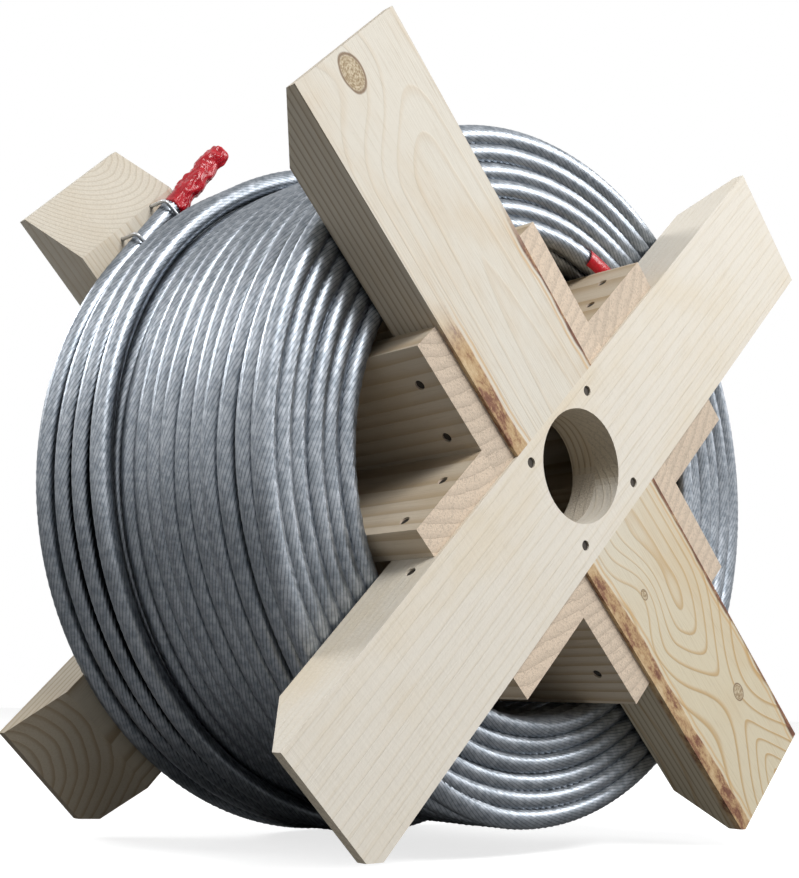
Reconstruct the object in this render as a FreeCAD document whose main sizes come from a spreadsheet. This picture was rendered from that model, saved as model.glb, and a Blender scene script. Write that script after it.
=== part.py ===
"""Timber cross drum wound with galvanised steel guy strand.

Frame: origin on the axle bore, midway between the two crosses. The bore runs
along Y, the front cross is at -Y, +Z is up and the drum stands on the trimmed
lower corners of its four lower arms. Millimetres.
"""
import FreeCAD, Part
import math
import os

os.makedirs("parts", exist_ok=True)
doc = FreeCAD.newDocument("guy_wire_drum")
sheet = doc.addObject("Spreadsheet::Sheet", "sizes")

SIZES = [
    # the two crosses
    ("drum_width", 333.0),          # outer face to outer face
    ("rising_length", 640.0),
    ("falling_length", 634.0),
    ("beam_thickness", 42.0),
    ("rising_width", 100.0),        # lower left to upper right beams
    ("falling_width", 105.0),       # upper left to lower right beams
    ("end_square", 8.0),            # square-cut part of each beam end
    ("end_bevel", 43.0),            # how much shorter the inner face is
    ("falling_slide", 5.0),         # falling beams sit this far up their own axis
    ("bore_radius", 40.0),
    ("cross_shift", 7.8),           # the bores are drilled this far off the crossing
    ("axle_height", 255.0),         # bore axis above the floor
    # the core boards
    ("board_thickness", 22.0),
    ("board_reach", 154.0),         # crossing to the boards' outer edges
    ("board_recess", 3.0),          # board ends behind the beams' outer faces
    # the strand
    ("strand_diameter", 16.0),
    ("layer_pitch", 12.6),
    ("winding_clearance", 0.3),
    ("last_turn_rise", 2.4),        # gap between the last turn and the layer below
    ("last_turn_off_wall", 1.9),
    ("tail_angle", 143.0),          # where the last turn leaves the winding
    ("last_turn_sweep", 318.0),
    ("tail_length", 144.0),         # straight free end beyond that point
    ("tape_length", 72.0),          # red tape on the free end
    ("tape_thickness", 1.4),
    ("tape_fit", 0.2),
    ("inner_tape_angle", 64.0),
    ("inner_tape_sweep", 9.0),
    ("inner_tape_thickness", 0.8),
    # nails and staples
    ("nail_radius", 1.7),
    ("nail_head_radius", 3.4),
    ("nail_head_height", 1.4),
    ("nail_sink", 1.2),
    ("nail_fit", 0.2),
    ("lap_nail_length", 38.0),
    ("board_nail_length", 48.0),
    ("staple_wire", 3.0),
    ("staple_depth", 14.0),
    ("staple_fit", 0.3),
    ("staple_one", 25.0),           # along the free end from where it leaves
    ("staple_two", 65.0),
]
TURNS = 15
LAYERS = 6
TOP_TURNS = 3       # turns of the unfinished top layer, beside the last one at the back
V = {}
for row, (name, value) in enumerate(SIZES, start=1):
    sheet.set("A%d" % row, name)
    sheet.set("B%d" % row, str(value))
    sheet.setAlias("B%d" % row, name)
doc.recompute()
for name, _value in SIZES:
    V[name] = float(sheet.get(name))

Q = math.sqrt(0.5)
TILT = FreeCAD.Rotation(FreeCAD.Vector(0, 1, 0), -45)
NODES = []


def bind(obj, **expressions):
    """Bind properties; an underscore pair stands for a dot in the path."""
    for path, expression in expressions.items():
        obj.setExpression(path.replace("__", "."), expression)
    return obj


def S(text):
    """Write the sheet's name before each size in an expression."""
    for name in sorted(V, key=len, reverse=True):
        text = text.replace("@" + name, "sizes." + name)
    return text


def box(name, x, y, z, dx, dy, dz):
    """A box at x, y, z with sides dx, dy, dz, each an expression."""
    obj = doc.addObject("Part::Box", name)
    return bind(obj, Length=S(dx), Width=S(dy), Height=S(dz),
                Placement__Base__x=S(x), Placement__Base__y=S(y), Placement__Base__z=S(z))


def cylinder(name, radius, height, x, y, z, axis, angle):
    """A cylinder whose +Z is turned about axis by angle, from x, y, z."""
    obj = doc.addObject("Part::Cylinder", name)
    obj.Placement = FreeCAD.Placement(FreeCAD.Vector(0, 0, 0), FreeCAD.Rotation(FreeCAD.Vector(*axis), angle))
    return bind(obj, Radius=S(radius), Height=S(height),
                Placement__Base__x=S(x), Placement__Base__y=S(y), Placement__Base__z=S(z))


def fuse(name, shapes):
    obj = doc.addObject("Part::MultiFuse", name)
    obj.Shapes = shapes
    obj.Refine = True
    return obj


def cut(name, base, tool):
    obj = doc.addObject("Part::Cut", name)
    obj.Base = base
    obj.Tool = tool
    return obj


def tilt(obj):
    """Turn a piece from the cross's own axes to its place on the drum."""
    obj.Placement = FreeCAD.Placement(FreeCAD.Vector(0, 0, 0), TILT)
    obj.setExpression("Placement.Base.x", "sizes.cross_shift")
    return obj


def node(obj, label):
    obj.Label = label
    NODES.append(obj)
    return obj


# ---------------------------------------------------------------- the crosses
# Each cross is drawn square: the rising beam along X, the falling beam along Z,
# the crossing at the origin. tilt() turns both through 45 degrees.
FRONT = "(-@drum_width / 2)"
BACK = "(@drum_width / 2)"
BORE_X = "(-@cross_shift * %.9f)" % Q
BORE_Z = "(@cross_shift * %.9f)" % Q

# lap nails: place on the cross, along the rising beam and up the falling beam
LAP_NAILS = [(36.0, 39.5), (-45.0, 39.0), (31.5, -38.0), (-41.0, -36.0)]

def nail_tools(tag, side):
    tools = []
    for i, (px, pz) in enumerate(LAP_NAILS):
        start = "(%s)" % FRONT
        tools.append(cylinder("%s_nail_hole_%d" % (tag, i), "@nail_radius + @nail_fit",
                              "@nail_sink + @lap_nail_length + @nail_fit + 1", str(px), start + " - 1", str(pz),
                              (1, 0, 0), -90))
        tools.append(cylinder("%s_nail_sink_%d" % (tag, i), "@nail_head_radius + @nail_fit",
                              "@nail_sink + @nail_head_height + 1", str(px), start + " - 1", str(pz),
                              (1, 0, 0), -90))
    return tools


def beam(label, side, rising):
    """One half-lapped beam with bevelled ends, bored on the drum's axis."""
    length = "@rising_length" if rising else "@falling_length"
    wide = "@rising_width" if rising else "@falling_width"
    other = "@falling_width" if rising else "@rising_width"
    start = "(-%s / 2)" % length if rising else "(-%s / 2 + @falling_slide)" % length
    outer = FRONT if side == "front" else BACK
    square = box(label + "_square", "0", "0", "0", length, "@end_square", wide)
    wedge = doc.addObject("Part::Wedge", label + "_bevel")
    short = ("@end_bevel", length + " - @end_bevel")
    low = ("0", length) if side == "front" else short
    high = short if side == "front" else ("0", length)
    bind(wedge, Xmin=S(low[0]), Xmax=S(low[1]), X2min=S(high[0]), X2max=S(high[1]),
         Ymin="0 mm", Ymax=S("@beam_thickness - @end_square"),
         Zmin="0 mm", Z2min="0 mm", Zmax=S(wide), Z2max=S(wide))
    if side == "front":
        wedge.setExpression("Placement.Base.y", S("@end_square"))
    else:
        square.setExpression("Placement.Base.y", S("@beam_thickness - @end_square"))
    blank = fuse(label + "_blank", [square, wedge])
    inner_y = outer if side == "front" else "%s - @beam_thickness" % BACK
    if rising:
        bind(blank, Placement__Base__x=S(start), Placement__Base__y=S(inner_y),
             Placement__Base__z=S("-%s / 2" % wide))
    else:
        blank.Placement = FreeCAD.Placement(FreeCAD.Vector(0, 0, 0), FreeCAD.Rotation(FreeCAD.Vector(0, 1, 0), -90))
        bind(blank, Placement__Base__x=S("%s / 2" % wide), Placement__Base__y=S(inner_y),
             Placement__Base__z=S(start))
    # the lap: the rising beam keeps its outer half, the falling beam its inner half
    notch_outer = not rising
    half = "@beam_thickness / 2"
    if side == "front":
        lap_y = "%s - 1" % FRONT if notch_outer else "%s + %s" % (FRONT, half)
    else:
        lap_y = "%s - %s" % (BACK, half) if notch_outer else "%s - @beam_thickness - 1" % BACK
    reach = length
    if rising:
        lap = box(label + "_lap", "-%s / 2" % other, lap_y, "-%s" % reach, other, half + " + 1", "2 * " + reach)
    else:
        lap = box(label + "_lap", "-%s" % reach, lap_y, "-%s / 2" % other, "2 * " + reach, half + " + 1", other)
    bore = cylinder(label + "_bore", "@bore_radius", "@beam_thickness + 2", BORE_X, inner_y + " - 1", BORE_Z,
                    (1, 0, 0), -90)
    tools = [lap, bore]
    if side == "front":
        tools += nail_tools(label, side)
        tools += board_nail_tools(label, rising)
        if rising:
            tools.append(side_nail_cylinder("side_nail_hole", "@nail_radius + @nail_fit", "@board_nail_length + 1", "1"))
            tools.append(side_nail_cylinder("side_nail_seat", "@nail_head_radius + @nail_fit",
                                            "@nail_sink + @nail_head_height + 1", "1"))
    shaped = tilt(cut(label + "_shaped", blank, fuse(label + "_cuts", tools)))
    floor = box(label + "_floor", "-" + length, "-@drum_width", "-@axle_height - 100", "2 * " + length,
                "2 * @drum_width", "100")
    if label == "back_falling_beam":
        floor = fuse(label + "_trims", [floor, staple_holes()])
    return node(cut(label, shaped, floor), label)


# ------------------------------------------------------------ the core boards
# Two boards in each corner between the arms. The long one lies on the falling
# beams and butts on the rising ones, the short one lies on the rising beams and
# butts on the long one.
CORNERS = {"left": (-1, 1), "top": (1, 1), "right": (1, -1), "bottom": (-1, -1)}
# which corner, long or short board, distance from the crossing, depth from the front
BOARD_NAILS = [
    ("left", "long", 127.0, 20.6), ("left", "long", 86.0, 25.0),
    ("left", "short", 103.0, 17.7), ("left", "short", 143.0, 22.2),
    ("top", "short", 134.0, 24.6), ("top", "short", 102.0, 17.1),
    ("bottom", "long", 125.0, 21.6),
]
# one stray nail in the side of the front rising beam: distance out, depth
SIDE_NAIL = (-167.0, 14.3)
FACE_X = "(@falling_width / 2 + @board_thickness)"
FACE_Z = "(@rising_width / 2 + @board_thickness)"


def board_nail_cylinder(name, spec, radius, length, lift):
    """A cylinder along one board nail, starting lift above the board's face."""
    corner, kind, along, depth = spec
    sx, sz = CORNERS[corner]
    y = "%s + %s" % (FRONT, depth)
    if kind == "long":
        x = "%d * (%s + %s)" % (sx, FACE_X, lift)
        return cylinder(name, radius, length, x, y, str(sz * along), (0, 1, 0), -90 * sx)
    z = "%d * (%s + %s)" % (sz, FACE_Z, lift)
    turn = (1, 0, 0) if sz > 0 else (0, 0, 1)
    return cylinder(name, radius, length, str(sx * along), y, z, turn, 180 if sz > 0 else 0)


def board_nail_tools(label, rising):
    tools = []
    for i, spec in enumerate(BOARD_NAILS):
        if (spec[1] == "short") == rising:
            tools.append(board_nail_cylinder("%s_board_hole_%d" % (label, i), spec, "@nail_radius + @nail_fit",
                                             "@board_nail_length + @nail_fit + 1", "1 - @nail_sink"))
    return tools


def side_nail_cylinder(name, radius, length, lift):
    along, depth = SIDE_NAIL
    return cylinder(name, radius, length, str(along), "%s + %s" % (FRONT, depth),
                    "@rising_width / 2 + %s" % lift, (1, 0, 0), 180)


def core_board(corner, kind):
    label = "core_board_%s_%s" % (corner, kind)
    sx, sz = CORNERS[corner]
    thick = "@board_thickness"
    if kind == "long":
        x = "@falling_width / 2" if sx > 0 else "-%s" % FACE_X
        z = "@rising_width / 2" if sz > 0 else "-@board_reach"
        dx, dz = thick, "@board_reach - @rising_width / 2"
    else:
        z = "@rising_width / 2" if sz > 0 else "-%s" % FACE_Z
        x = FACE_X if sx > 0 else "-@board_reach"
        dx, dz = "@board_reach - %s" % FACE_X, thick
    blank = box(label + "_blank", x, "%s + @board_recess" % FRONT, z, dx, "@drum_width - 2 * @board_recess", dz)
    tools = []
    for i, spec in enumerate(BOARD_NAILS):
        if spec[0] == corner and spec[1] == kind:
            tools.append(board_nail_cylinder("%s_hole_%d" % (label, i), spec, "@nail_radius + @nail_fit",
                                             "@board_thickness + 2", "1"))
            tools.append(board_nail_cylinder("%s_sink_%d" % (label, i), spec, "@nail_head_radius + @nail_fit",
                                             "@nail_sink + @nail_head_height + 1", "1"))
    if tools:
        board = cut(label + "_drilled", blank, fuse(label + "_cuts", tools))
    else:
        board = doc.addObject("Part::Compound", label + "_plain")
        board.Links = [blank]
    return node(tilt(board), label)


# ------------------------------------------------ places shared by the strand
# The winding is turned about the crossing, where the boards' outer corners lie
# on one circle; the last turn lies over its outermost layer at the back end.
def point(y, r):
    return FreeCAD.Vector(V["cross_shift"] + r, y, 0)


strand_r = V["strand_diameter"] / 2
corner_r = math.hypot(V["board_reach"], V["falling_width"] / 2 + V["board_thickness"])
r_in = corner_r + V["winding_clearance"]
half_gap = V["drum_width"] / 2 - V["beam_thickness"]
half_wound = half_gap - V["winding_clearance"]
layer_r = [r_in + strand_r + V["layer_pitch"] * i for i in range(LAYERS)]
turn_pitch = (2 * half_wound - V["strand_diameter"]) / (TURNS - 1)
turn_y = [-half_wound + strand_r + turn_pitch * i for i in range(TURNS)]
last_r = layer_r[-1] + 2 * strand_r + V["last_turn_rise"]
last_y = half_gap - strand_r - V["last_turn_off_wall"]
top_r = layer_r[-1] + 2 * strand_r
staple_room = V["staple_wire"] + 8 * V["staple_fit"]     # the staples over the free end pass beside the top turns
top_y = [last_y - turn_pitch * (TOP_TURNS - i) - staple_room for i in range(TOP_TURNS)]
tail_a = math.radians(V["tail_angle"])
tail_dir = FreeCAD.Vector(math.sin(tail_a), 0, -math.cos(tail_a))
tail_out = FreeCAD.Vector(math.cos(tail_a), 0, math.sin(tail_a))
axis_dir = FreeCAD.Vector(0, 1, 0)


def rim(angle, radius=last_r):
    return FreeCAD.Vector(V["cross_shift"] + radius * math.cos(angle), last_y, radius * math.sin(angle))


def pipe(wire, radius):
    """A round bar along a wire of straight runs and tangent arcs."""
    edge = wire.OrderedEdges[0]
    start = edge.valueAt(edge.FirstParameter)
    heading = edge.tangentAt(edge.FirstParameter)
    ring = Part.Wire(Part.makeCircle(radius, start, heading))
    return wire.makePipeShell([ring], True, False)


def staple(along, radius, extra):
    """A U of wire over the strand, its legs extra deeper into the beam."""
    leg = strand_r + V["staple_fit"] + V["staple_wire"] / 2
    bend = V["staple_wire"] * 1.2
    foot = half_gap + V["staple_depth"] + extra
    crown = last_y - leg
    centre = rim(tail_a) + tail_dir * along

    def at(out, y):
        p = centre + tail_out * out
        return FreeCAD.Vector(p.x, y, p.z)

    c45 = bend * (1 - Q)
    return pipe(Part.Wire([
        Part.LineSegment(at(-leg, foot), at(-leg, crown + bend)).toShape(),
        Part.Arc(at(-leg, crown + bend), at(-leg + c45, crown + c45), at(-leg + bend, crown)).toShape(),
        Part.LineSegment(at(-leg + bend, crown), at(leg - bend, crown)).toShape(),
        Part.Arc(at(leg - bend, crown), at(leg - c45, crown + c45), at(leg, crown + bend)).toShape(),
        Part.LineSegment(at(leg, crown + bend), at(leg, foot)).toShape(),
    ]), radius)


def staple_holes():
    holes = doc.addObject("Part::Feature", "staple_holes")
    solids = [staple(V[name], V["staple_wire"] / 2 + V["nail_fit"], V["nail_fit"])
              for name in ("staple_one", "staple_two")]
    holes.Shape = Part.makeCompound(solids)
    return holes


for side in ("front", "back"):
    beam(side + "_rising_beam", side, True)
    beam(side + "_falling_beam", side, False)
for corner in CORNERS:
    core_board(corner, "long")
    core_board(corner, "short")

# ------------------------------------------------------------------- the nails
for i, (px, pz) in enumerate(LAP_NAILS):
    head = cylinder("lap_head_%d" % i, "@nail_head_radius", "@nail_head_height", str(px),
                    "%s + @nail_sink" % FRONT, str(pz), (1, 0, 0), -90)
    shank = cylinder("lap_shank_%d" % i, "@nail_radius", "@lap_nail_length", str(px),
                     "%s + @nail_sink" % FRONT, str(pz), (1, 0, 0), -90)
    node(tilt(fuse("lap_nail_%d_solid" % (i + 1), [head, shank])), "lap_nail_%d" % (i + 1))
for i, spec in enumerate(BOARD_NAILS):
    head = board_nail_cylinder("board_head_%d" % i, spec, "@nail_head_radius", "@nail_head_height", "-@nail_sink")
    shank = board_nail_cylinder("board_shank_%d" % i, spec, "@nail_radius", "@board_nail_length", "-@nail_sink")
    node(tilt(fuse("board_nail_%d_solid" % (i + 1), [head, shank])), "board_nail_%d" % (i + 1))
head = side_nail_cylinder("side_head", "@nail_head_radius", "@nail_head_height", "-@nail_sink")
shank = side_nail_cylinder("side_shank", "@nail_radius", "@board_nail_length - @nail_sink", "-@nail_sink")
node(tilt(fuse("side_nail_solid", [head, shank])), "side_nail")

# ----------------------------------------------------------------- the winding
# One turned solid. Its profile follows the strands that show: a row of turns on
# the outside and one strand per layer on each end. It is turned about the
# crossing, where the boards' outer corners lie on one circle.


def bump(centre_y, centre_r, a0, a1):
    """An arc of one strand's outline, from angle a0 to a1 (0 along +y, 90 outward)."""
    pts = []
    for a in (a0, (a0 + a1) / 2, a1):
        pts.append(point(centre_y + strand_r * math.cos(math.radians(a)),
                         centre_r + strand_r * math.sin(math.radians(a))))
    return Part.Arc(*pts).toShape()


side_half = math.degrees(math.asin(min(0.98, V["layer_pitch"] / 2 / strand_r * 0.97)))
top_half = math.degrees(math.asin(min(0.94, turn_pitch / 2 / strand_r * 0.9)))
arcs = []
for i in range(LAYERS):             # the front end, from the bore outward
    lower = 90 if i == 0 else side_half
    upper = 90 if i == LAYERS - 1 else side_half
    if i == LAYERS - 1:
        arcs.append(bump(turn_y[0], layer_r[i], 180 + lower, 90 - top_half))
    else:
        arcs.append(bump(turn_y[0], layer_r[i], 180 + lower, 180 - upper))
for i in range(1, TURNS - 1 - TOP_TURNS):   # the outside, front to back
    arcs.append(bump(turn_y[i], layer_r[-1], 90 + top_half, 90 - top_half))
for i in range(TOP_TURNS):          # the unfinished top layer
    arcs.append(bump(top_y[i], top_r, 180 if i == 0 else 90 + top_half, 0 if i == TOP_TURNS - 1 else 90 - top_half))
for i in reversed(range(LAYERS)):   # the back end, from the outside inward
    lower = 90 if i == 0 else side_half
    if i == LAYERS - 1:
        arcs.append(bump(turn_y[-1], layer_r[i], 90 + top_half, -lower))
    else:
        arcs.append(bump(turn_y[-1], layer_r[i], side_half, -lower))
edges = []
for i, arc in enumerate(arcs):
    edges.append(arc)
    end = arc.Curve.value(arc.LastParameter)
    nxt = arcs[(i + 1) % len(arcs)]
    begin = nxt.Curve.value(nxt.FirstParameter)
    if (end - begin).Length > 1e-6:
        edges.append(Part.LineSegment(end, begin).toShape())
profile = Part.Face(Part.Wire(Part.__sortEdges__(edges)))
axis_point = FreeCAD.Vector(V["cross_shift"], 0, 0)
winding = doc.addObject("Part::Feature", "winding_solid")
winding.Shape = profile.revolve(axis_point, axis_dir, 360)
node(winding, "wire_winding")

# ------------------------------------------- the last turn and its free end
tail_end = rim(tail_a) + tail_dir * V["tail_length"]
sweep = math.radians(V["last_turn_sweep"])
path = Part.Wire([
    Part.Arc(rim(tail_a + sweep), rim(tail_a + sweep / 2), rim(tail_a)).toShape(),
    Part.LineSegment(rim(tail_a), tail_end).toShape(),
])
last_turn = doc.addObject("Part::Feature", "last_turn_solid")
last_turn.Shape = pipe(path, strand_r)
node(last_turn, "wire_outer_end")

# red tape round the free end, closed over its tip
tape_start = rim(tail_a) + tail_dir * (V["tail_length"] - V["tape_length"])
tape_in = strand_r + V["tape_fit"]
tape_out = tape_in + V["tape_thickness"]
sleeve = Part.makeCylinder(tape_out, V["tape_length"] + V["tape_fit"] + V["tape_thickness"], tape_start, tail_dir)
inside = Part.makeCylinder(tape_in, V["tape_length"] + V["tape_fit"], tape_start, tail_dir)
outer_tape = doc.addObject("Part::Feature", "outer_tape_solid")
outer_tape.Shape = sleeve.cut(inside)
node(outer_tape, "outer_end_tape")

# red tape on the inner end, seen on the first layer's front turn
tape_a0, tape_a1 = 232.0, 180.0 - side_half * 0.85
inner_r = strand_r + V["tape_fit"]
outer_r = inner_r + V["inner_tape_thickness"]


def about(radius, angle):
    a = math.radians(angle)
    return point(turn_y[0] + radius * math.cos(a), layer_r[0] + radius * math.sin(a))


mid = (tape_a0 + tape_a1) / 2
strip = Part.Face(Part.Wire([
    Part.Arc(about(inner_r, tape_a0), about(inner_r, mid), about(inner_r, tape_a1)).toShape(),
    Part.LineSegment(about(inner_r, tape_a1), about(outer_r, tape_a1)).toShape(),
    Part.Arc(about(outer_r, tape_a1), about(outer_r, mid), about(outer_r, tape_a0)).toShape(),
    Part.LineSegment(about(outer_r, tape_a0), about(inner_r, tape_a0)).toShape(),
]))
patch = strip.revolve(axis_point, axis_dir, -V["inner_tape_sweep"])
patch.rotate(axis_point, axis_dir, -V["inner_tape_angle"])
inner_tape = doc.addObject("Part::Feature", "inner_tape_solid")
inner_tape.Shape = patch
node(inner_tape, "inner_end_tape")

for name in ("staple_one", "staple_two"):
    obj = doc.addObject("Part::Feature", name + "_solid")
    obj.Shape = staple(V[name], V["staple_wire"] / 2, 0.0)
    node(obj, "tail_" + name)

# ------------------------------------------------------------------- writing
doc.recompute()
for obj in doc.Objects:
    if "Invalid" in obj.State or "Error" in obj.State:
        raise RuntimeError("%s failed: %s" % (obj.Name, obj.State))
for obj in NODES:
    shape = obj.Shape
    if shape.isNull() or not shape.isValid() or len(shape.Solids) != 1 or shape.Volume <= 0:
        raise RuntimeError("%s is not one valid solid (%d solids, volume %.1f)"
                           % (obj.Label, len(shape.Solids), shape.Volume))
for obj in NODES:
    obj.Shape.exportStep(os.path.join("parts", obj.Label + ".step"))
    print("%-28s %12.1f mm3" % (obj.Label, obj.Shape.Volume))
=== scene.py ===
import bpy
import math
import random
from mathutils import Matrix, Vector, noise


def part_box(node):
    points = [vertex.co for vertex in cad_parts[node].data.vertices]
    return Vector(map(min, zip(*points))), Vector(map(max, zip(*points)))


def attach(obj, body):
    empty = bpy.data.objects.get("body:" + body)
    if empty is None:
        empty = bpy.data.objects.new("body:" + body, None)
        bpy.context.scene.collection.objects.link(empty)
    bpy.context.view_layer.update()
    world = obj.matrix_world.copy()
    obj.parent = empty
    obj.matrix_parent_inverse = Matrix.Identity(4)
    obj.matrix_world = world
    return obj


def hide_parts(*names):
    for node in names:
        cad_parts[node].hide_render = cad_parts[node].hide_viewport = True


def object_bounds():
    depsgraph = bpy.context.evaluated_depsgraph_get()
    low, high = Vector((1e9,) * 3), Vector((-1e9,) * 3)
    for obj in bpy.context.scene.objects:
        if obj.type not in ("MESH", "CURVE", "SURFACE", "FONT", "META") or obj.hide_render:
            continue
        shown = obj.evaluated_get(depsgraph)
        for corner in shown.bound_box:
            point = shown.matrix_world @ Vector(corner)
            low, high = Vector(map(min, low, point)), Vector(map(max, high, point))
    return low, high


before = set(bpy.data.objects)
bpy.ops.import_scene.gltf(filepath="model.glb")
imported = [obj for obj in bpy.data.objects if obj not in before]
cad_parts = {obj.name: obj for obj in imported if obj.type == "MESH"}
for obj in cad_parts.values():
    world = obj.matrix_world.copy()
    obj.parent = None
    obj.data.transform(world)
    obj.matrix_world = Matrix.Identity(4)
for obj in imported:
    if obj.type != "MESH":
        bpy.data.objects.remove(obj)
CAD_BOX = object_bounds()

scene = bpy.context.scene
scene.view_settings.view_transform = "Standard"
Q = math.sqrt(0.5)

# ------------------------------------------------------------------ camera
cam_data = bpy.data.cameras.new("camera")
cam = bpy.data.objects.new("camera", cam_data)
scene.collection.objects.link(cam)
RIGHT = Vector((0.73825, -0.67426, 0.01867))
DOWN = Vector((0.08678, 0.0675, -0.99394))
AHEAD = Vector((0.66892, 0.7354, 0.10834))
turn = Matrix((RIGHT, -DOWN, -AHEAD)).transposed().to_4x4()
cam.matrix_world = Matrix.Translation(Vector((-0.7213, -0.7678, -0.1577))) @ turn
cam_data.sensor_width = 36.0
cam_data.lens = 1373.5 / 878.0 * 36.0
cam_data.shift_x = (399.5 - 392.3) / 878.0
cam_data.shift_y = (544.2 - 439.0) / 878.0
cam_data.clip_start = 0.02
cam_data.clip_end = 50.0
scene.camera = cam

# ---------------------------------------------------------- the drum's sizes
LOW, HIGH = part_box("wire_winding")
AXIS_X = (LOW[0] + HIGH[0]) / 2
R_TOP = (HIGH[0] - LOW[0]) / 2 - 0.008      # the unfinished seventh layer
R_OUT = R_TOP - 0.008
HALF_WOUND = (HIGH[1] - LOW[1]) / 2
STRAND = 0.016
PITCH_R = 0.0126
LAYERS = 6
TURNS = 15
LAYER_R = [R_OUT - STRAND / 2 - PITCH_R * (LAYERS - 1 - i) for i in range(LAYERS)]
TOP_TURNS = 3
TURN_Y = [-HALF_WOUND + STRAND / 2 + (2 * HALF_WOUND - STRAND) / (TURNS - 1) * i for i in range(TURNS)]
FRONT_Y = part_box("front_rising_beam")[0][1]


# ---------------------------------------------------------------- materials
class Nodes:
    """A short way to write a node tree."""

    def __init__(self, name):
        self.mat = bpy.data.materials.new(name)
        self.mat.use_nodes = True
        self.tree = self.mat.node_tree
        self.tree.nodes.clear()
        self.out = self.tree.nodes.new("ShaderNodeOutputMaterial")
        self.bsdf = self.tree.nodes.new("ShaderNodeBsdfPrincipled")
        self.tree.links.new(self.bsdf.outputs[0], self.out.inputs[0])
        self.coord = self.tree.nodes.new("ShaderNodeTexCoord").outputs["Object"]

    def link(self, a, b):
        self.tree.links.new(a, b)

    def put(self, socket, value):
        if hasattr(value, "is_output"):
            self.link(value, socket)
        else:
            socket.default_value = value

    def math(self, op, a, b=0.0, c=0.0, clamp=False):
        n = self.tree.nodes.new("ShaderNodeMath")
        n.operation = op
        n.use_clamp = clamp
        for i, v in enumerate((a, b, c)):
            self.put(n.inputs[i], v)
        return n.outputs[0]

    def vec(self, op, a, b=(0, 0, 0), scale=1.0):
        n = self.tree.nodes.new("ShaderNodeVectorMath")
        n.operation = op
        self.put(n.inputs[0], a)
        self.put(n.inputs[1], b)
        if op == "SCALE":
            self.put(n.inputs[3], scale)
        return n.outputs["Value"] if op in ("LENGTH", "DOT_PRODUCT", "DISTANCE") else n.outputs[0]

    def split(self, v):
        n = self.tree.nodes.new("ShaderNodeSeparateXYZ")
        self.put(n.inputs[0], v)
        return n.outputs

    def join(self, x, y, z):
        n = self.tree.nodes.new("ShaderNodeCombineXYZ")
        for i, v in enumerate((x, y, z)):
            self.put(n.inputs[i], v)
        return n.outputs[0]

    def noise(self, vector, scale, detail=3.0, rough=0.5, distortion=0.0):
        n = self.tree.nodes.new("ShaderNodeTexNoise")
        self.put(n.inputs["Vector"], vector)
        n.inputs["Scale"].default_value = scale
        n.inputs["Detail"].default_value = detail
        n.inputs["Roughness"].default_value = rough
        n.inputs["Distortion"].default_value = distortion
        return n.outputs[0]

    def ramp(self, fac, stops):
        n = self.tree.nodes.new("ShaderNodeValToRGB")
        self.put(n.inputs[0], fac)
        el = n.color_ramp.elements
        while len(el) < len(stops):
            el.new(0.5)
        for e, (pos, col) in zip(el, stops):
            e.position = pos
            e.color = (*col, 1.0) if len(col) == 3 else col
        return n.outputs[0]

    def step(self, value, low, high):
        n = self.tree.nodes.new("ShaderNodeMapRange")
        n.interpolation_type = "SMOOTHSTEP"
        self.put(n.inputs["Value"], value)
        self.put(n.inputs["From Min"], low)
        self.put(n.inputs["From Max"], high)
        return n.outputs[0]

    def mix(self, fac, a, b, kind="MIX"):
        n = self.tree.nodes.new("ShaderNodeMix")
        n.data_type = "RGBA"
        n.blend_type = kind
        self.put(n.inputs[0], fac)
        for i, v in ((6, a), (7, b)):
            self.put(n.inputs[i], v if hasattr(v, "is_output") else (*v, 1.0))
        return n.outputs[2]

    def bump(self, height, distance, strength=1.0, normal=None):
        n = self.tree.nodes.new("ShaderNodeBump")
        n.inputs["Strength"].default_value = strength
        n.inputs["Distance"].default_value = distance
        self.put(n.inputs["Height"], height)
        if normal is not None:
            self.link(normal, n.inputs["Normal"])
        return n.outputs[0]


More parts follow.
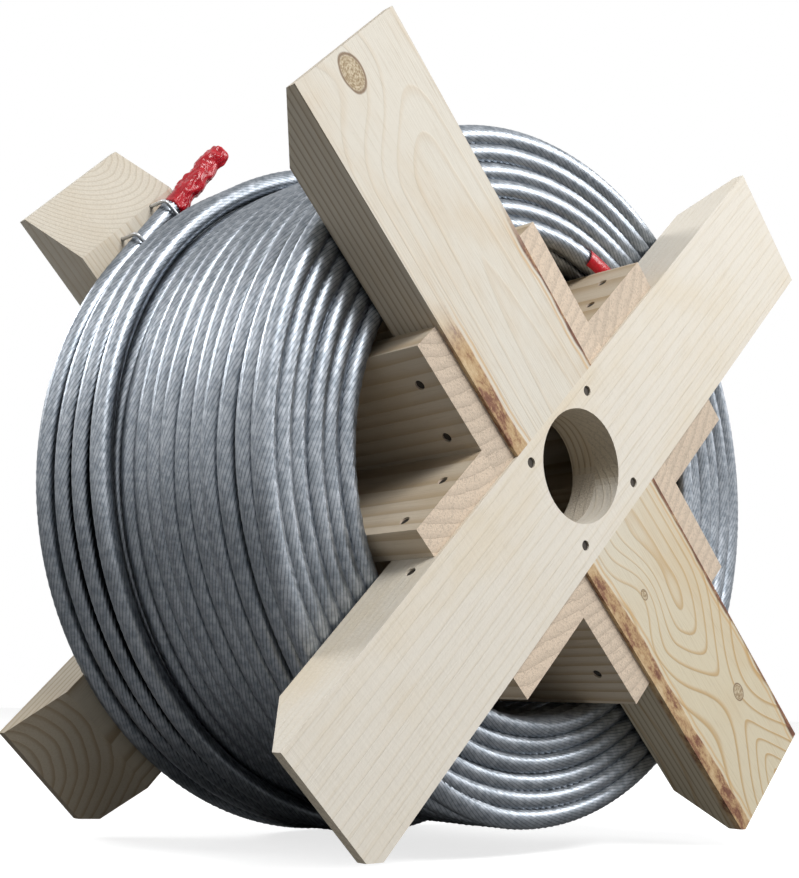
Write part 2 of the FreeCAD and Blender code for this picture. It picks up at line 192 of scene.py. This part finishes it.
def timber(name, along, pith, tone, late, contrast=0.35, warm=None, thin=0.5, stripes=0.0, wobble=0.004, ring=0.0045, knots=(), wane=(), saw=0.0,
           end_tone_and_shade=(0.56, 0.50, 0.41), stain=0.0, seed=0.0):
    """Sawn softwood whose rings run round a pith line along the board.

    along: "s" rising beams, "v" falling beams, "y" core boards. pith: the line's
    place across the board, in metres. knots: (along, across, size) on the face.
    """
    g = Nodes(name)
    x, y, z = g.split(g.vec("ADD", g.coord, (-AXIS_X, 0.0, 0.0)))
    s = g.math("MULTIPLY", g.math("ADD", x, z), Q)
    v = g.math("MULTIPLY", g.math("SUBTRACT", z, x), Q)
    if along == "s":
        a, b, c = s, v, y
    elif along == "v":
        a, b, c = v, s, y
    else:
        a, b, c = y, s, v
    slow = g.join(g.math("MULTIPLY", a, 0.12), b, c)
    w1 = g.noise(g.vec("ADD", slow, (seed, seed * 0.7, 0.0)), 9.0, 2.0)
    w2 = g.noise(g.vec("ADD", slow, (0.0, seed, seed)), 60.0, 3.0)
    db = g.math("SUBTRACT", b, pith[0])
    dc = g.math("SUBTRACT", c, pith[1])
    lean = g.math("MULTIPLY", a, pith[2] if len(pith) > 2 else 0.0)
    dc = g.math("ADD", dc, lean)
    radius = g.math("SQRT", g.math("ADD", g.math("MULTIPLY", db, db), g.math("MULTIPLY", dc, dc)))
    radius = g.math("ADD", radius, g.math("MULTIPLY", g.math("SUBTRACT", w1, 0.5), wobble * 5))
    radius = g.math("ADD", radius, g.math("MULTIPLY", g.math("SUBTRACT", w2, 0.5), wobble * 0.6))
    knot_mask = None
    for ka, kb, size, loop in knots:
        da = g.math("SUBTRACT", a, ka)
        dk = g.math("SUBTRACT", b, kb)
        d = g.math("SQRT", g.math("ADD", g.math("MULTIPLY", g.math("MULTIPLY", da, da), 0.55), g.math("MULTIPLY", dk, dk)))
        d = g.math("ADD", d, g.math("MULTIPLY", g.math("SUBTRACT", w2, 0.5), size * 0.25))
        swell = g.math("MULTIPLY", g.math("SUBTRACT", 1.0, g.step(d, 0.0, loop * 0.055)), loop * 0.024)
        radius = g.math("ADD", radius, swell)
        spot = g.math("SUBTRACT", 1.0, g.step(d, size * 0.42, size * 0.56))
        rings = g.math("MULTIPLY", g.math("ADD", g.math("SINE", g.math("MULTIPLY", d, 4200.0)), 1.0), 0.5)
        rim = g.math("MULTIPLY", g.step(d, size * 0.43, size * 0.50), g.math("SUBTRACT", 1.0, g.step(d, size * 0.52, size * 0.58)))
        one = (spot, rings, rim)
        if knot_mask is None:
            knot_mask = one
        else:
            knot_mask = (g.math("MAXIMUM", knot_mask[0], spot), g.mix(spot, knot_mask[1], rings), g.math("MAXIMUM", knot_mask[2], rim))
    phase = g.math("FRACT", g.math("DIVIDE", radius, ring))
    line = g.math("MULTIPLY", g.step(phase, thin, 0.94), g.math("SUBTRACT", 1.0, g.step(phase, 0.94, 1.0)))
    strength = g.math("MULTIPLY", line, g.math("ADD", 0.45, w1))
    amount = g.math("MULTIPLY", strength, contrast * 1.6)
    body = tone
    if warm:
        # one end of the board is yellower, with plainer rings
        far = g.step(a, warm[1], warm[0])
        body = g.mix(far, tone, warm[2])
        amount = g.math("MULTIPLY", amount, g.math("ADD", 0.3, g.math("MULTIPLY", far, 1.1)))
    base = g.mix(g.math("MULTIPLY", amount, 1.0, clamp=True), body, late)
    patch = g.noise(g.join(g.math("MULTIPLY", a, 0.5), b, c), 14.0, 4.0, 0.6)
    base = g.mix(g.math("MULTIPLY", g.step(patch, 0.42, 0.75), 0.35), base, tuple(t * k for t, k in zip(late, (1.12, 1.1, 1.0))))
    fibre = g.noise(g.join(g.math("MULTIPLY", a, 0.035), b, c), 900.0, 3.0, 0.6)
    base = g.mix(g.math("MULTIPLY", g.step(fibre, 0.5, 0.8), 0.28), base, tuple(t * 0.72 for t in late))
    if stain:
        dirt = g.noise(g.vec("ADD", g.coord, (seed, 0, 0)), 22.0, 5.0, 0.65)
        base = g.mix(g.math("MULTIPLY", g.step(dirt, 0.55, 0.8), stain), base, (0.36, 0.31, 0.24))
    if knot_mask:
        dots = g.noise(g.coord, 420.0, 3.0, 0.7)
        core = g.mix(g.math("MULTIPLY", g.math("ADD", g.math("MULTIPLY", knot_mask[1], 0.5), g.step(dots, 0.42, 0.58)), 0.66), (0.27, 0.19, 0.10), (0.58, 0.49, 0.35))
        base = g.mix(knot_mask[0], base, core)
        base = g.mix(g.math("MULTIPLY", knot_mask[2], 0.85), base, (0.17, 0.10, 0.05))
    fuzz = g.noise(g.coord, 380.0, 4.0, 0.7)
    base = g.mix(g.math("MULTIPLY", g.step(fuzz, 0.5, 0.75), 0.16), base, tuple(t * 0.74 for t in tone))
    height = g.math("ADD", g.math("MULTIPLY", fibre, 0.6), g.math("MULTIPLY", line, 0.35))
    geo = g.tree.nodes.new("ShaderNodeNewGeometry")
    if stripes:
        # the beam's narrow faces cut the rings into straight stripes
        across = {"s": (-Q, 0, Q), "v": (Q, 0, Q), "y": (Q, 0, Q)}[along]
        on_side = g.step(g.math("ABSOLUTE", g.vec("DOT_PRODUCT", geo.outputs["True Normal"], across)), 0.6, 0.8)
        cut = g.math("ADD", c, g.math("MULTIPLY", g.math("SUBTRACT", w1, 0.5), 0.010))
        cut = g.math("FRACT", g.math("DIVIDE", cut, 0.0052))
        band = g.math("MULTIPLY", g.step(cut, 0.5, 0.9), g.math("SUBTRACT", 1.0, g.step(cut, 0.9, 1.0)))
        base = g.mix(g.math("MULTIPLY", on_side, 0.5), base, tuple(t * k for t, k in zip(tone, (0.72, 0.66, 0.56))))
        base = g.mix(g.math("MULTIPLY", g.math("MULTIPLY", band, on_side), stripes), base, (0.20, 0.13, 0.07))
    for side, start, ends, bark_and_shade_shift in wane:
        # a strip of natural edge: bark patches over orange inner bark; the shift darkens the bark, and on the right
        # wane that is partly painted shade of the gap beside the core board
        edge = g.math("MULTIPLY", g.math("SUBTRACT", b, start), side)
        wander = g.noise(g.join(a, side * 3.0, 0.0), 11.0, 3.0)
        edge = g.math("ADD", edge, g.math("MULTIPLY", g.math("SUBTRACT", wander, 0.5), 0.016))
        gate = g.math("MULTIPLY", g.step(a, ends[0] - 0.03, ends[0]), g.math("SUBTRACT", 1.0, g.step(a, ends[1], ends[1] + 0.05)))
        near = g.math("SUBTRACT", 1.0, g.step(g.math("SUBTRACT", c, FRONT_Y), 0.0035, 0.0075))
        gate = g.math("MULTIPLY", gate, near)
        here = g.math("MULTIPLY", g.step(edge, -0.0009, 0.0009), gate)
        bark = g.noise(g.join(g.math("MULTIPLY", a, 0.55), b, c), 75.0, 6.0, 0.75)
        bark = g.math("ADD", bark, bark_and_shade_shift)
        skin = g.ramp(bark, [(0.34, (0.60, 0.46, 0.28)), (0.50, (0.44, 0.29, 0.15)), (0.60, (0.20, 0.085, 0.05)), (0.72, (0.11, 0.05, 0.03))])
        base = g.mix(here, base, skin)
        rim = g.math("MULTIPLY", g.step(edge, -0.005, -0.0035), g.math("SUBTRACT", 1.0, g.step(edge, -0.0030, -0.0018)))
        base = g.mix(g.math("MULTIPLY", g.math("MULTIPLY", rim, gate), 0.6), base, (0.55, 0.34, 0.14))
        height = g.math("ADD", height, g.math("MULTIPLY", g.math("MULTIPLY", bark, here), 2.0))
    # end grain is duller and speckled; the back rising beam's dark end tone is painted shade
    axis = {"s": (Q, 0, Q), "v": (-Q, 0, Q), "y": (0, 1, 0)}[along]
    facing = g.math("ABSOLUTE", g.vec("DOT_PRODUCT", geo.outputs["True Normal"], axis))
    is_end = g.step(facing, 0.55, 0.7)
    speck = g.noise(g.coord, 700.0, 3.0, 0.7)
    end_col_and_shade = g.mix(g.math("MULTIPLY", line, 0.5), end_tone_and_shade, tuple(t * 0.7 for t in end_tone_and_shade))
    end_col_and_shade = g.mix(g.math("MULTIPLY", g.step(speck, 0.46, 0.68), 0.6), end_col_and_shade, tuple(t * 0.6 for t in end_tone_and_shade))
    base = g.mix(is_end, base, end_col_and_shade)
    height = g.math("ADD", height, g.math("MULTIPLY", g.math("MULTIPLY", speck, is_end), 1.2))
    if saw:
        marks = g.noise(g.join(a, g.math("MULTIPLY", b, 0.04), c), 420.0, 2.0)
        height = g.math("ADD", height, g.math("MULTIPLY", marks, saw))
    g.link(base, g.bsdf.inputs["Base Color"])
    rough = g.math("ADD", 0.62, g.math("MULTIPLY", fibre, 0.2))
    g.link(rough, g.bsdf.inputs["Roughness"])
    g.bsdf.inputs["Specular IOR Level"].default_value = 0.35
    g.link(g.bump(height, 0.0005, 0.7), g.bsdf.inputs["Normal"])
    return g.mat


def steel(name, dark, bright, painted_valley_shade, rough=0.34):
    """Galvanised strand steel, bright on the crowns of the wires, with painted shade: a mesh attribute darkens the
    valleys between wires and the sides of each turn that lie against its neighbours.
    """
    g = Nodes(name)
    painted_shading_attr = g.tree.nodes.new("ShaderNodeAttribute")
    painted_shading_attr.attribute_name = "painted_shading_attr"
    painted_shading = painted_shading_attr.outputs["Fac"]
    spangle = g.noise(g.coord, 210.0, 4.0, 0.6)
    streak = g.noise(g.coord, 22.0, 3.0, 0.55)
    col = g.mix(g.step(spangle, 0.3, 0.7), dark, bright)
    col = g.mix(g.math("MULTIPLY", g.step(streak, 0.5, 0.72), 0.3), col, tuple(c * 0.72 for c in dark))
    # painted shade: the valley colour fills where the attribute is low, between wires and between turns
    col = g.mix(g.math("SUBTRACT", 1.0, g.step(painted_shading, 0.0, 0.6)), col, painted_valley_shade)
    g.link(col, g.bsdf.inputs["Base Color"])
    g.bsdf.inputs["Metallic"].default_value = 0.9
    g.link(g.math("ADD", rough, g.math("MULTIPLY", g.math("SUBTRACT", spangle, 0.5), 0.22)), g.bsdf.inputs["Roughness"])
    g.link(g.bump(spangle, 0.0002, 0.25), g.bsdf.inputs["Normal"])
    return g.mat


def plain_metal(name, colour, rough, metallic=0.9, grain=260.0):
    g = Nodes(name)
    n = g.noise(g.coord, grain, 4.0, 0.6)
    g.link(g.mix(n, tuple(c * 0.6 for c in colour), colour), g.bsdf.inputs["Base Color"])
    g.bsdf.inputs["Metallic"].default_value = metallic
    g.link(g.math("ADD", rough - 0.1, g.math("MULTIPLY", n, 0.2)), g.bsdf.inputs["Roughness"])
    g.link(g.bump(n, 0.0002, 0.5), g.bsdf.inputs["Normal"])
    return g.mat


def red_tape():
    g = Nodes("red_tape")
    crease = g.noise(g.coord, 240.0, 4.0, 0.6, 0.6)
    # the red darkens where the crinkle bump is low: painted shade in the creases, over the tape's own red
    col = g.ramp(crease, [(0.3, (0.30, 0.0, 0.006)), (0.5, (0.42, 0.001, 0.010)), (0.75, (0.50, 0.003, 0.015))])
    g.link(col, g.bsdf.inputs["Base Color"])
    g.bsdf.inputs["Roughness"].default_value = 0.2
    g.bsdf.inputs["Specular IOR Level"].default_value = 0.35
    g.link(g.bump(crease, 0.0008, 0.5), g.bsdf.inputs["Normal"])
    return g.mat


def give(node, mat):
    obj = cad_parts[node]
    obj.data.materials.clear()
    obj.data.materials.append(mat)


PALE = (0.70, 0.655, 0.575)
LATE = (0.56, 0.44, 0.27)
rising = timber("timber_rising", "s", (0.16, -0.40), PALE, LATE, contrast=0.09, thin=0.6, ring=0.0052, wobble=0.0018, saw=0.5,
                seed=1.3, end_tone_and_shade=(0.56, 0.49, 0.38))
falling = timber("timber_falling", "v", (0.012, FRONT_Y - 0.018, 0.045), (0.66, 0.62, 0.54), (0.47, 0.31, 0.14), contrast=0.36, thin=0.70, stripes=0.55, warm=(-0.20, 0.10, (0.62, 0.55, 0.405)),
                 ring=0.0085, wobble=0.0030, seed=4.1, stain=0.06,
                 knots=((0.306, -0.007, 0.0175, 1.1), (-0.103, -0.016, 0.0065, 0.7), (-0.233, 0.019, 0.0105, 1.6)),
                 # the right wane's bark is shifted darker: real bark, and painted shade of the gap beside the core
                 # board
                 wane=((-1.0, -0.0405, (-0.36, 0.125), 0.0), (1.0, 0.0503, (-0.36, 0.14), 0.10)))
# the back rising beam's end faces are darkened as painted shade: its visible lower end faces down, away from the lamps
back_rising = timber("timber_back_rising", "s", (0.02, 0.20), (0.52, 0.46, 0.36), (0.30, 0.22, 0.13), contrast=0.5,
                     ring=0.0058, wobble=0.003, seed=7.7, end_tone_and_shade=(0.26, 0.21, 0.15), stain=0.3)
back_falling = timber("timber_back_falling", "v", (0.03, 0.19), (0.68, 0.62, 0.52), (0.46, 0.35, 0.22), contrast=0.30, thin=0.6,
                      ring=0.0036, wobble=0.003, seed=9.2, end_tone_and_shade=(0.66, 0.61, 0.52), stain=0.15)
give("front_rising_beam", rising)
give("front_falling_beam", falling)
give("back_rising_beam", back_rising)
give("back_falling_beam", back_falling)
for i, name in enumerate(sorted(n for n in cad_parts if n.startswith("core_board"))):
    t = 0.96 + 0.06 * math.sin(i * 2.3)
    mat = timber("timber_" + name, "y", (0.02 * math.sin(i * 1.7), 0.25 + 0.04 * math.cos(i)), tuple(t * c for c in (0.62, 0.53, 0.41)),
                 (0.42, 0.31, 0.19), contrast=0.5, thin=0.3, ring=0.0085, wobble=0.005, seed=2.0 + i * 1.9,
                 end_tone_and_shade=tuple(t * c for c in (0.66, 0.54, 0.42)), stain=0.2)
    give(name, mat)
nail_steel = plain_metal("nail_steel", (0.07, 0.06, 0.05), 0.6, 0.7)
staple_steel = plain_metal("staple_steel", (0.62, 0.63, 0.64), 0.3)
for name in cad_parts:
    if "nail" in name:
        give(name, nail_steel)
    if "staple" in name:
        give(name, staple_steel)
tape_mat = red_tape()
give("inner_end_tape", tape_mat)
# the last colour is the painted shade between wires and between turns
strand_mat = steel("strand_steel", (0.23, 0.26, 0.295), (0.40, 0.43, 0.47), (0.02, 0.023, 0.027), 0.36)
# a near-black steel as painted shade for the inside of the coil
painted_shade_core_mat = plain_metal("coil_inside_painted_shade", (0.05, 0.052, 0.056), 0.7, 0.6)

# ------------------------------------------------------------------ the strand
WIRES = 18
LAY = 0.118                     # one full twist of the outer wires
STEP = 0.0072


def strand(name, paths, radius=STRAND / 2 - 0.0001):
    """Tubes along paths with helical outer wires; each path is (points, closed)."""
    verts, faces, painted_shading = [], [], []
    count = WIRES * 2
    for path in paths:
        pts, closed = path[:2]
        open_to = path[2] if len(path) > 2 else "o"
        first = len(verts)
        n = len(pts)
        run = 0.0
        twist0 = 0.0
        total = sum((pts[(i + 1) % n] - pts[i]).length for i in range(n if closed else n - 1))
        lays = total / LAY
        if closed:
            lays = round(lays)
        for i, p in enumerate(pts):
            a = pts[i - 1] if (closed or i) else p
            b = pts[(i + 1) % n] if (closed or i < n - 1) else p
            t = (b - a).normalized()
            side = t.cross(Vector((0, 1, 0))).normalized()
            up = side.cross(t).normalized()
            phase = -2 * math.pi * lays * run / total
            for k in range(count):
                ang = 2 * math.pi * k / count + phase
                r = radius if k % 2 == 0 else radius - 0.00095
                around = side * math.cos(ang) + up * math.sin(ang)
                verts.append(p + around * r)
                # painted shade: brightness falls in the wire valleys and on the sides of the turn that lie against its
                # neighbours; only the open sides keep bright crowns
                out = Vector((p.x - AXIS_X, 0, p.z)).normalized()
                face = [around.dot(out) if "o" in open_to else -1, -around.dot(out) if "i" in open_to else -1,
                        -around.y if "f" in open_to else -1, around.y if "b" in open_to else -1]
                lit = min(1.0, max(0.0, (max(face) - 0.02) / 0.5))
                painted_shading.append((1.0 if k % 2 == 0 else 0.25) * lit * lit * (3 - 2 * lit))
            run += (pts[(i + 1) % n] - p).length
        rows = n if closed else n - 1
        for i in range(rows):
            a = first + i * count
            last = closed and i == n - 1
            b = first if last else a + count
            for k in range(count):
                k2 = (k + 1) % count
                faces.append((a + k, a + k2, b + k2, b + k))
        if not closed:
            faces.append(tuple(first + k for k in reversed(range(count))))
            faces.append(tuple(first + (n - 1) * count + k for k in range(count)))
    mesh = bpy.data.meshes.new(name)
    mesh.from_pydata(verts, [], faces)
    for poly in mesh.polygons:
        poly.use_smooth = len(poly.vertices) == 4
    # the painted shade is stored per vertex for the strand material
    attr = mesh.attributes.new("painted_shading_attr", "FLOAT", "POINT")
    attr.data.foreach_set("value", painted_shading)
    mesh.materials.append(strand_mat)
    obj = bpy.data.objects.new(name, mesh)
    scene.collection.objects.link(obj)
    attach(obj, "root")
    return obj


def turn_points(radius, y, seed, wander_y=0.0012, wander_r=0.0005, start=0.0, sweep=2 * math.pi):
    """A turn round the winding that wanders a little."""
    n = max(8, int(abs(sweep) * radius / STEP))
    closed = abs(sweep) > 6.28
    pts = []
    for i in range(n if closed else n + 1):
        a = start + sweep * i / n
        dy = noise.noise(Vector((math.cos(a) * 1.3, math.sin(a) * 1.3, seed))) * wander_y * 2
        dr = noise.noise(Vector((math.cos(a) * 1.7, math.sin(a) * 1.7, seed + 40))) * wander_r * 2
        r = radius + dr
        pts.append(Vector((AXIS_X + r * math.cos(a), y + dy, r * math.sin(a))))
    return pts, closed


def crossing_layer(radius, seed, low, high):
    """Turns low to high of one continuous strand, stepping to the next place over a short arc."""
    cross_mid, cross_half = math.radians(236), math.radians(30)
    pts = []
    per = int(2 * math.pi * radius / STEP)
    if low == 0:
        rise = int(per * 0.13)
        for i in range(rise):
            u = i / rise
            a = cross_mid + cross_half - 2 * math.pi * (rise - i) / per
            r = radius - 0.0004 - PITCH_R * (1 - u * u * (3 - 2 * u))
            pts.append(Vector((AXIS_X + r * math.cos(a), TURN_Y[0], r * math.sin(a))))
    for turn_i in range(low, high):
        for i in range(per):
            a = cross_mid + cross_half + 2 * math.pi * i / per
            f = 2 * math.pi * i / per
            y = TURN_Y[turn_i]
            reach = 2 * math.pi - 2 * cross_half
            if f > reach and turn_i < TURNS - 2:
                u = (f - reach) / (2 * cross_half)
                y += (TURN_Y[turn_i + 1] - y) * (u * u * (3 - 2 * u))
            y += noise.noise(Vector((math.cos(a) * 1.4, math.sin(a) * 1.4, seed + (turn_i + f / 6.283) * 0.42))) * 0.0062
            dr = noise.noise(Vector((math.cos(a) * 1.7, math.sin(a) * 1.7, seed + turn_i * 5.3))) * 0.0010
            r = radius - 0.0004 + dr * 0.6
            if turn_i == TURNS - 2 and f > reach:
                u = (f - reach) / (2 * cross_half)
                r -= PITCH_R * (u * u * (3 - 2 * u))
            y = max(TURN_Y[0], min(TURN_Y[-2] + 0.001, y))
            pts.append(Vector((AXIS_X + r * math.cos(a), y, r * math.sin(a))))
    return pts, False


def raised_turn(k, seed):
    """A turn of the unfinished top layer, which wanders across the layer below."""
    base = TOP_Y[k]
    pts = []
    per = int(2 * math.pi * R_TOP / STEP)
    for i in range(per):
        a = 2 * math.pi * i / per
        # towards the front low on the left, tight to the back at the upper left
        swing = TOP_SWING[k] * 0.5 * (1 + math.cos(a - math.radians(205)))
        swing += TOP_TIGHT[k] * max(0.0, math.cos(a - math.radians(128))) ** 3
        y = base + swing + noise.noise(Vector((math.cos(a) * 1.6, math.sin(a) * 1.6, seed))) * 0.002
        r = R_TOP - 0.0006
        pts.append(Vector((AXIS_X + r * math.cos(a), y, r * math.sin(a))))
    return pts, True, "ofb" if k == 0 else "ob"


TOP_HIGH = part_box("wire_winding")[1][1]
LAST_PLACE = (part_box("wire_outer_end")[0][1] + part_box("wire_outer_end")[1][1]) / 2
SPACING = TURN_Y[1] - TURN_Y[0]
TOP_Y = [LAST_PLACE - 0.0054 - SPACING * (TOP_TURNS - i) for i in range(TOP_TURNS)]
TOP_SWING = [-0.0175, -0.0085, -0.001]
TOP_TIGHT = [0.008, 0.005, 0.002]

outer = strand("winding_outer_front", [crossing_layer(LAYER_R[-1], 1.0, 0, 7) + ("of",)])
outer_back = strand("winding_outer_back", [crossing_layer(LAYER_R[-1], 1.0, 7, TURNS - 1) + ("of",),
                                           turn_points(LAYER_R[-1], TURN_Y[-1], 5.0, 0.0004) + ("ob",)])
raised = strand("winding_top_turns", [raised_turn(k, 50.0 + k) for k in range(TOP_TURNS)])
ends = []
for i in range(1, LAYERS - 1):
    ends.append(turn_points(LAYER_R[i], TURN_Y[0] + 0.0006 + 0.0012 * (i % 2), 10.0 + i, 0.0005) + ("f",))
    ends.append(turn_points(LAYER_R[i], TURN_Y[-1] - 0.0006 - 0.0012 * (i % 2), 20.0 + i, 0.0005) + ("b",))
winding_ends = strand("winding_end_turns", ends)
STEP = 0.0125
first = []
for i in range(TURNS):
    ring = turn_points(LAYER_R[0], TURN_Y[i], 30.0 + i, 0.0008 if 0 < i < TURNS - 1 else 0.0, 0.0)
    first.append(ring + ("if" if i == 0 else "ib" if i == TURNS - 1 else "i",))
inner = strand("winding_first_layer", first)
STEP = 0.0072

# the packed inside of the coil, a dark body that paints the shade seen between the turns
core_profile = [(LAYER_R[0], TURN_Y[0]), (LAYER_R[-1], TURN_Y[0]), (LAYER_R[-1], TURN_Y[-1]), (LAYER_R[0], TURN_Y[-1])]

verts, faces = [], []
SEG = 128
for i in range(SEG):
    a = 2 * math.pi * i / SEG
    for r, y in core_profile:
        verts.append((AXIS_X + r * math.cos(a), y, r * math.sin(a)))
for i in range(SEG):
    for k in range(4):
        a, b = i * 4 + k, i * 4 + (k + 1) % 4
        c, d = ((i + 1) % SEG) * 4 + (k + 1) % 4, ((i + 1) % SEG) * 4 + k
        faces.append((a, b, c, d))
mesh = bpy.data.meshes.new("winding_core_painted_shade")
mesh.from_pydata(verts, [], faces)
mesh.materials.append(painted_shade_core_mat)
core = bpy.data.objects.new("winding_core_painted_shade", mesh)
scene.collection.objects.link(core)
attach(core, "root")
for piece in (outer, outer_back, raised, winding_ends, inner, core):
    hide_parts("wire_winding")

# the last turn and its free end
lo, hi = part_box("wire_outer_end")
LAST_R = AXIS_X - lo[0] - STRAND / 2 - 0.0006
LAST_Y = (lo[1] + hi[1]) / 2
TAIL_A = math.radians(143.0)
TAIL = Vector((math.sin(TAIL_A), 0, -math.cos(TAIL_A)))
leave = Vector((AXIS_X + LAST_R * math.cos(TAIL_A), LAST_Y, LAST_R * math.sin(TAIL_A)))
sweep = math.radians(318.0)
n = int(LAST_R * sweep / STEP)
pts = [Vector((AXIS_X + LAST_R * math.cos(TAIL_A + sweep * (1 - i / n)), LAST_Y, LAST_R * math.sin(TAIL_A + sweep * (1 - i / n))))
       for i in range(n + 1)]
tail_len = 0.080
m = int(tail_len / STEP)
pts += [leave + TAIL * (tail_len * (i + 1) / m) for i in range(m)]
last = strand("outer_end_strand", [(pts, False, "ofb")])
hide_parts("wire_outer_end")

# crinkled red tape round the free end
t0, t1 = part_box("outer_end_tape")
TAPE_LEN = 0.0735
tape_start = leave + TAIL * (0.144 - 0.072)
side = TAIL.cross(Vector((0, 1, 0))).normalized()
verts, faces = [], []
ROWS, COLS = 60, 48
for i in range(ROWS + 1):
    f = i / ROWS
    for k in range(COLS):
        a = 2 * math.pi * k / COLS
        c, d = math.cos(a), math.sin(a)
        crease = noise.noise(Vector((c * 1.4, d * 1.4, f * 6.0))) + 0.6 * noise.noise(Vector((c * 3.2, d * 3.2, f * 15.0 + 7)))
        r = 0.0084 + 0.0024 * crease
        r = min(0.0096, max(0.0066, r))
        if f < 0.2:
            r = max(r, 0.0081)
        if f > 0.94:
            r *= math.sqrt(max(0.0, 1 - ((f - 0.94) / 0.065) ** 2)) * 0.9 + 0.08
        verts.append(tape_start + TAIL * (TAPE_LEN * f) + (side * c + Vector((0, 1, 0)) * d) * r)
for i in range(ROWS):
    for k in range(COLS):
        a, b = i * COLS + k, i * COLS + (k + 1) % COLS
        faces.append((a, b, b + COLS, a + COLS))
faces.append(tuple(ROWS * COLS + k for k in range(COLS)))
faces.append(tuple(reversed(range(COLS))))
mesh = bpy.data.meshes.new("tape_wrap")
mesh.from_pydata(verts, [], faces)
for poly in mesh.polygons:
    poly.use_smooth = True
mesh.materials.append(tape_mat)
tape = bpy.data.objects.new("tape_wrap", mesh)
scene.collection.objects.link(tape)
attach(tape, "root")
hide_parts("outer_end_tape")

# ------------------------------------------------------- floor, backdrop, light
FLOOR_Z = CAD_BOX[0][2]
floor_mesh = bpy.data.meshes.new("floor")
S = 6.0
floor_mesh.from_pydata([(-S, -S, FLOOR_Z), (S, -S, FLOOR_Z), (S, S, FLOOR_Z), (-S, S, FLOOR_Z)], [], [(0, 1, 2, 3)])
floor = bpy.data.objects.new("floor", floor_mesh)
scene.collection.objects.link(floor)
g = Nodes("floor_pale")
mottle = g.noise(g.coord, 3.0, 2.0)
ray = g.tree.nodes.new("ShaderNodeLightPath")
g.link(g.mix(ray.outputs["Is Camera Ray"], (0.22, 0.22, 0.22), g.mix(mottle, (0.48, 0.48, 0.48), (0.52, 0.52, 0.52))), g.bsdf.inputs["Base Color"])
g.bsdf.inputs["Roughness"].default_value = 0.8
glow = g.tree.nodes.new("ShaderNodeEmission")
g.link(g.math("MULTIPLY", ray.outputs["Is Camera Ray"], 0.76), glow.inputs[1])
both = g.tree.nodes.new("ShaderNodeAddShader")
g.link(g.bsdf.outputs[0], both.inputs[0])
g.link(glow.outputs[0], both.inputs[1])
g.link(both.outputs[0], g.out.inputs[0])
floor_mesh.materials.append(g.mat)

world = bpy.data.worlds.new("studio")
scene.world = world
world.use_nodes = True
tree = world.node_tree
tree.nodes.clear()
path = tree.nodes.new("ShaderNodeLightPath")
seen = tree.nodes.new("ShaderNodeMath")
seen.operation = "MAXIMUM"
tree.links.new(path.outputs["Is Camera Ray"], seen.inputs[0])
tree.links.new(path.outputs["Is Glossy Ray"], seen.inputs[1])
also = tree.nodes.new("ShaderNodeMath")
also.operation = "MAXIMUM"
tree.links.new(seen.outputs[0], also.inputs[0])
tree.links.new(path.outputs["Is Transmission Ray"], also.inputs[1])
seen = also
plain = tree.nodes.new("ShaderNodeBackground")
plain.inputs[0].default_value = (1, 1, 1, 1)
plain.inputs[1].default_value = 0.07
white = tree.nodes.new("ShaderNodeBackground")
white.inputs[0].default_value = (1, 1, 1, 1)
white.inputs[1].default_value = 1.0
blend = tree.nodes.new("ShaderNodeMixShader")
out = tree.nodes.new("ShaderNodeOutputWorld")
tree.links.new(seen.outputs[0], blend.inputs[0])
tree.links.new(plain.outputs[0], blend.inputs[1])
tree.links.new(white.outputs[0], blend.inputs[2])
tree.links.new(blend.outputs[0], out.inputs[0])


def lamp(name, place, target, size, power):
    data = bpy.data.lights.new(name, "AREA")
    data.shape = "SQUARE"
    data.size = size
    data.energy = power
    obj = bpy.data.objects.new(name, data)
    scene.collection.objects.link(obj)
    obj.location = place
    obj.rotation_mode = "QUATERNION"
    obj.rotation_quaternion = (Vector(target) - Vector(place)).to_track_quat("-Z", "Y")


lamp("key", (-0.3, -2.1, 2.0), (0, 0, 0), 1.2, 76)
lamp("side", (2.1, -1.7, 1.5), (0, 0, 0), 1.2, 43)
lamp("left", (-2.2, 0.3, 1.7), (0, 0, 0), 1.2, 9)
lamp("rim", (-1.3, 2.2, 1.5), (0, 0, 0), 1.2, 46)
